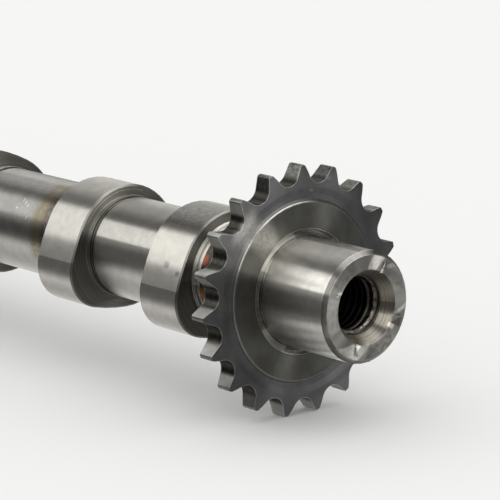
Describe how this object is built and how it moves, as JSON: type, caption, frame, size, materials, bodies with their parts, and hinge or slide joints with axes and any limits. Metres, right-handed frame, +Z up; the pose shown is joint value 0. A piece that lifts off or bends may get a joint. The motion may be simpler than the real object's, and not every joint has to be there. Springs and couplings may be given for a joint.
{
  "type": "engine camshaft",
  "caption": "One-piece steel engine camshaft: pairs of cams between ground journals, a chain sprocket with a thrust collar, and a plain nose with a threaded hole",
  "frame": {"origin": "on the shaft's axis, in the plane of the thrust face where the nose starts", "axes": "+X along the shaft out of the nose, +Z up, a tooth gap points straight down"},
  "size_m": [0.3445, 0.0508, 0.0505],
  "materials": {
    "camshaft": "ground bright on nose, journals and cams, dark turned and hardened steel on the sprocket and cam sides"
  },
  "bodies": {
    "root": {"camshaft": "camshaft"}
  },
  "joints": []
}
